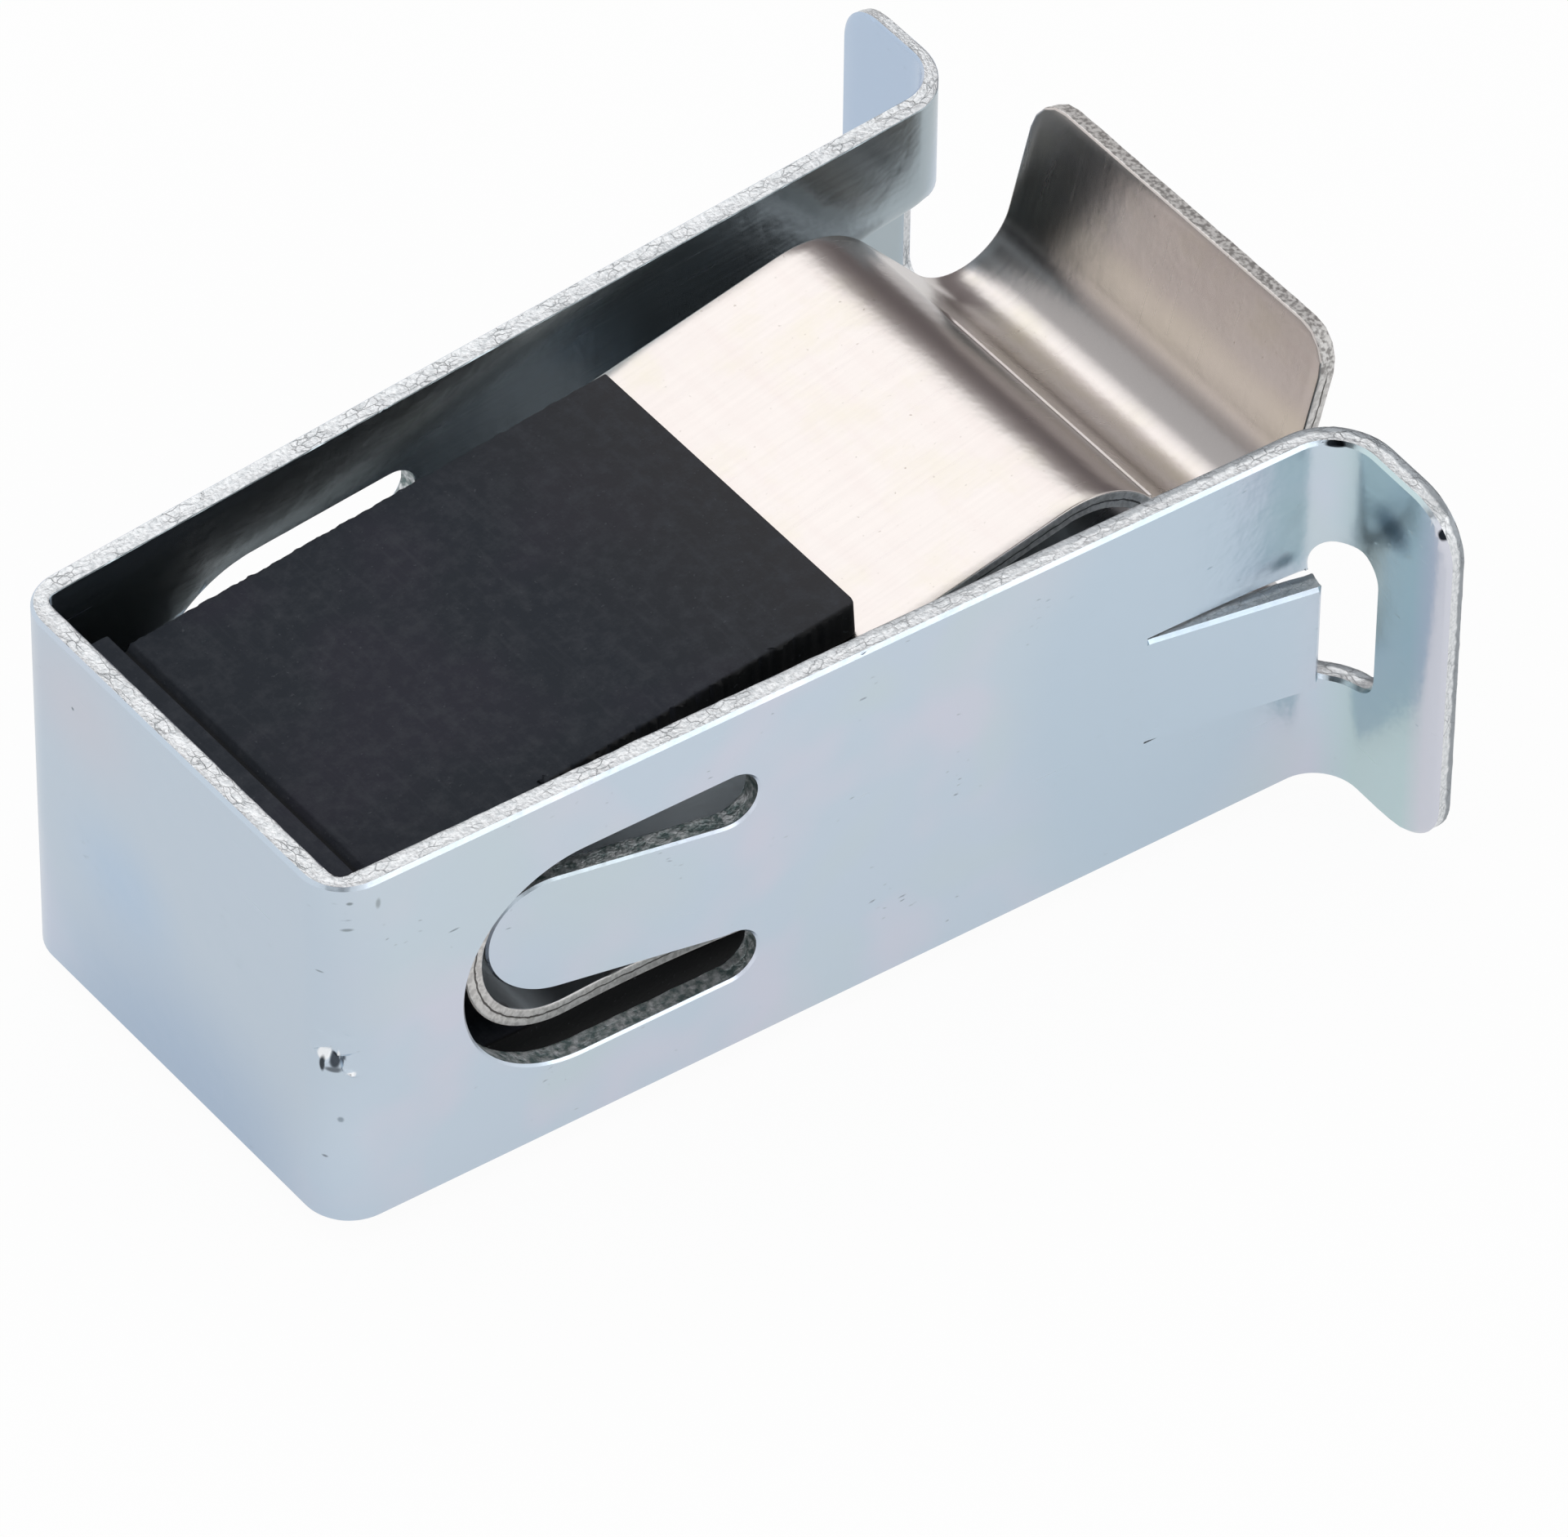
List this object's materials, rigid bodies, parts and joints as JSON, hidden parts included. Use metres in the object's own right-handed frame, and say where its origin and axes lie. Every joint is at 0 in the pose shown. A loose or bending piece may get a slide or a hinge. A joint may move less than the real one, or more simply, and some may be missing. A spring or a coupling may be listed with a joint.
{
  "type": "dryer door catch",
  "caption": "Snap-in dryer door catch: a folded zinc-plated housing with flanges and lanced tabs, a hairpin leaf spring with flared jaws, and a rubber channel behind its loop.",
  "frame": {"origin": "middle of the panel cut-out, in the plane of the flanges' back faces, midway between the legs and between the jaws", "axes": "+X out of the mouth towards the striker, +Y from flange to flange, +Z across the strip, the way the jaws open"},
  "size_m": [0.0438, 0.034, 0.0176],
  "materials": {
    "zinc_plate": "bright zinc plate, satin",
    "spring_steel": "tempered spring steel, satin",
    "black_rubber": "matt, saw-cut sides"
  },
  "bodies": {
    "root": {"housing": "zinc_plate", "jaw_spring": "spring_steel", "rubber_block": "black_rubber"}
  },
  "joints": []
}
